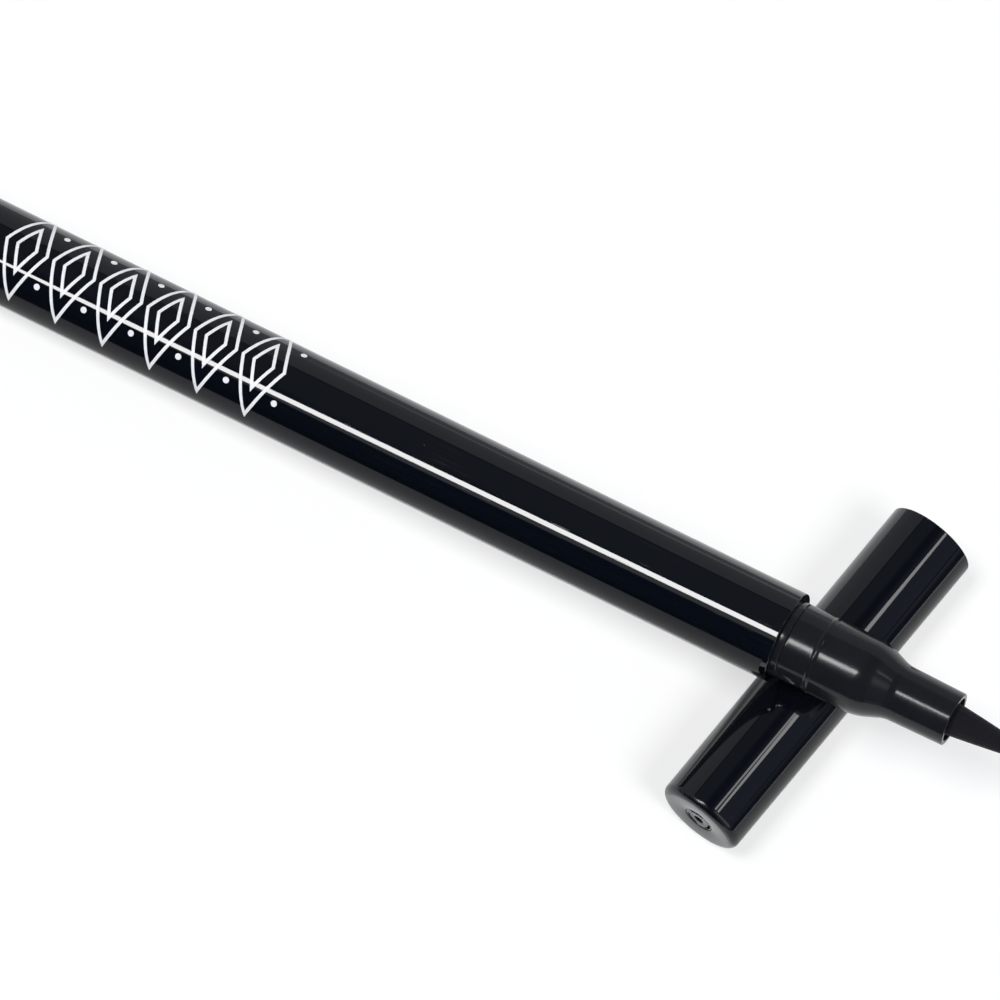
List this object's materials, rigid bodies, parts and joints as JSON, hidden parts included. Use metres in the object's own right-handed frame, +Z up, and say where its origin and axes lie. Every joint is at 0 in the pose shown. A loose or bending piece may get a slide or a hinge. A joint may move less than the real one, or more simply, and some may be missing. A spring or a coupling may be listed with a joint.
{
  "type": "liquid eyeliner pen",
  "caption": "Slim gloss black liquid eyeliner pen with a tapered felt nib, lying with its front section on its own removed cap.",
  "frame": {"origin": "middle of the resting object's outline in plan, on the surface that it lies on", "axes": "+X along the pen in plan towards the nib, +Y across it towards the cap's mouth, +Z up"},
  "size_m": [0.134, 0.0416, 0.0189],
  "materials": {
    "gloss_black": "gloss black lacquer",
    "satin_black": "satin moulded black",
    "nib_felt": "inked matte felt",
    "clear_tank": "translucent moulded",
    "pale_plastic": "natural moulded",
    "inner_plastic": "dark moulded",
    "fibre": "inked fibre bundle",
    "seal_rubber": "soft moulded rubber",
    "ball_steel": "polished steel",
    "spring_steel": "drawn steel wire"
  },
  "bodies": {
    "cap": {"cap_shell": "gloss_black", "cap_vent_plug": "satin_black", "inner_cap_spring": "spring_steel"},
    "inner_cap": {"inner_cap": "inner_plastic"},
    "pen": {"barrel": "gloss_black", "tail_plug": "gloss_black", "ink_tank": "clear_tank", "tank_plug": "pale_plastic", "tank_seal": "seal_rubber", "collector": "pale_plastic", "feed_rod": "fibre", "nib_holder": "satin_black", "nib_retainer": "pale_plastic", "nib": "nib_felt"},
    "mixing_ball": {"mixing_ball": "ball_steel"}
  },
  "joints": [
    {"name": "pen_lift", "type": "slide", "parent": "cap", "child": "pen", "axis": [0, 0, 1], "range_m": [0, 0.04]},
    {"name": "inner_cap_slide", "type": "slide", "parent": "cap", "child": "inner_cap", "axis": [-0.165, -0.9863, -0.0043], "range_m": [0, 0.0018], "stiffness_N_per_m": 200, "springref_m": -0.0015, "deforming": ["inner_cap_spring"]},
    {"name": "mixing_ball_slide", "type": "slide", "parent": "pen", "child": "mixing_ball", "axis": [0.9965, 0, 0.0836], "range_m": [0, 0.0503]}
  ]
}
